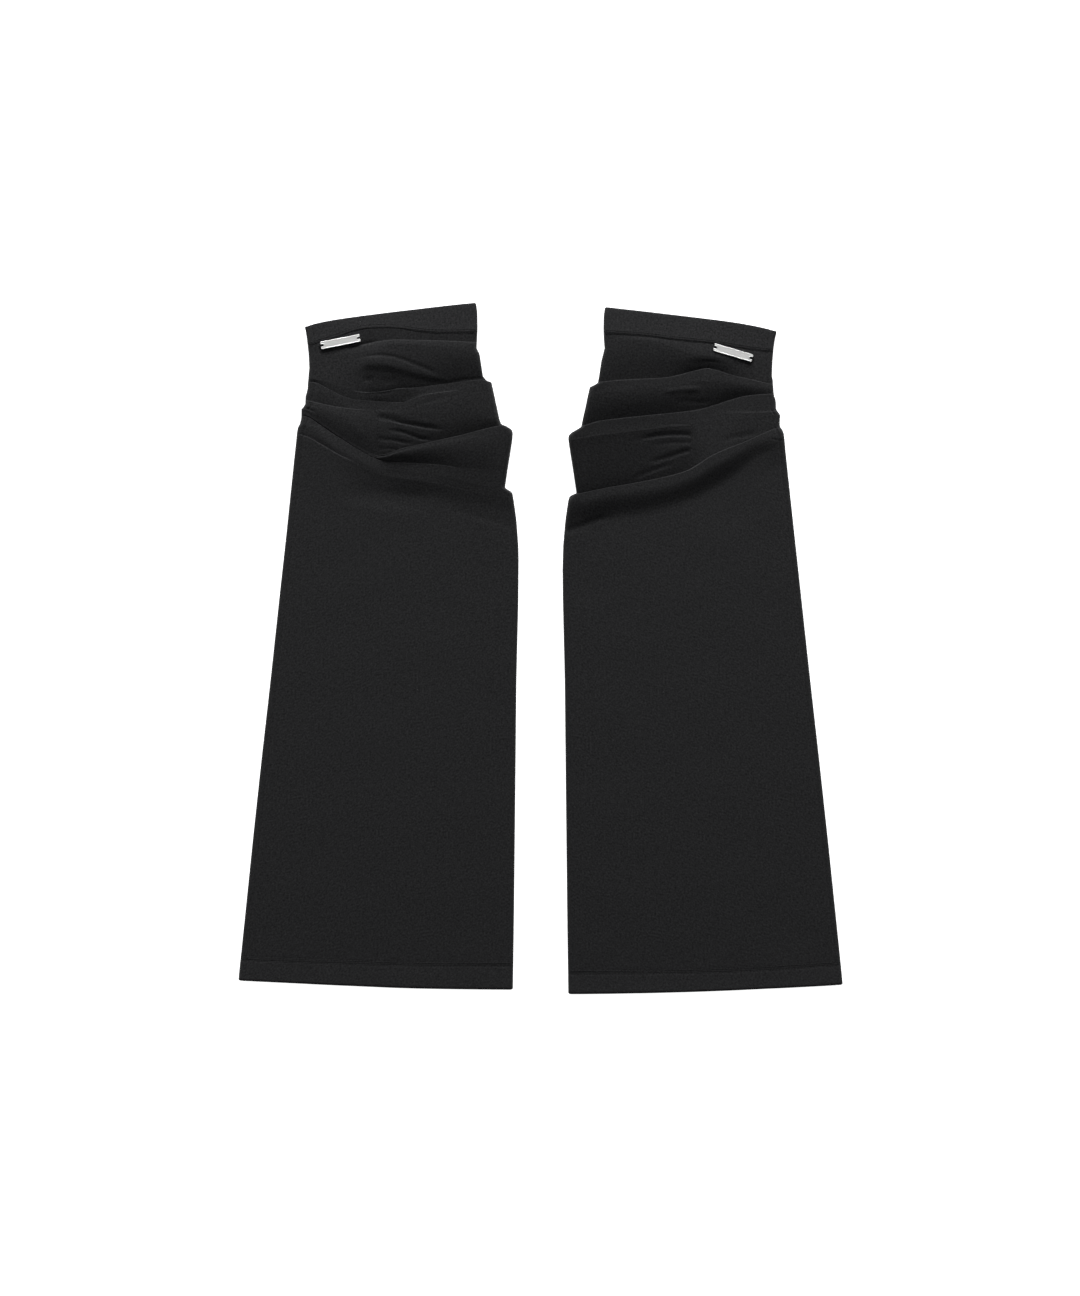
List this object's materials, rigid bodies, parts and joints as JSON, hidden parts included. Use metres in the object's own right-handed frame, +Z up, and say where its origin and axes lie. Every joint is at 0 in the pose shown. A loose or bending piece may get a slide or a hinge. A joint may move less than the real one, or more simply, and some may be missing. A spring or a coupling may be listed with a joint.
{
  "type": "pair of leg warmers",
  "caption": "Pair of long flared knit leg warmers, slouched into folds below narrow tops, with wide open hems and a small metal bar plate at each top, laid flat side by side.",
  "frame": {"origin": "on the table under the middle of the pair's outline, at the height of the flat underside", "axes": "+X across the pair from the left warmer to the right one, +Y from the hems up to the top bands, +Z up from the table, out of the fronts"},
  "size_m": [0.5526, 0.632, 0.0134],
  "materials": {
    "knit": "matt brushed jersey with a faint nap",
    "plate": "satin silver, plain"
  },
  "bodies": {
    "root": {"left_leg_panel": "knit", "left_bar_plate": "plate", "right_leg_panel": "knit", "right_bar_plate": "plate"}
  },
  "joints": []
}
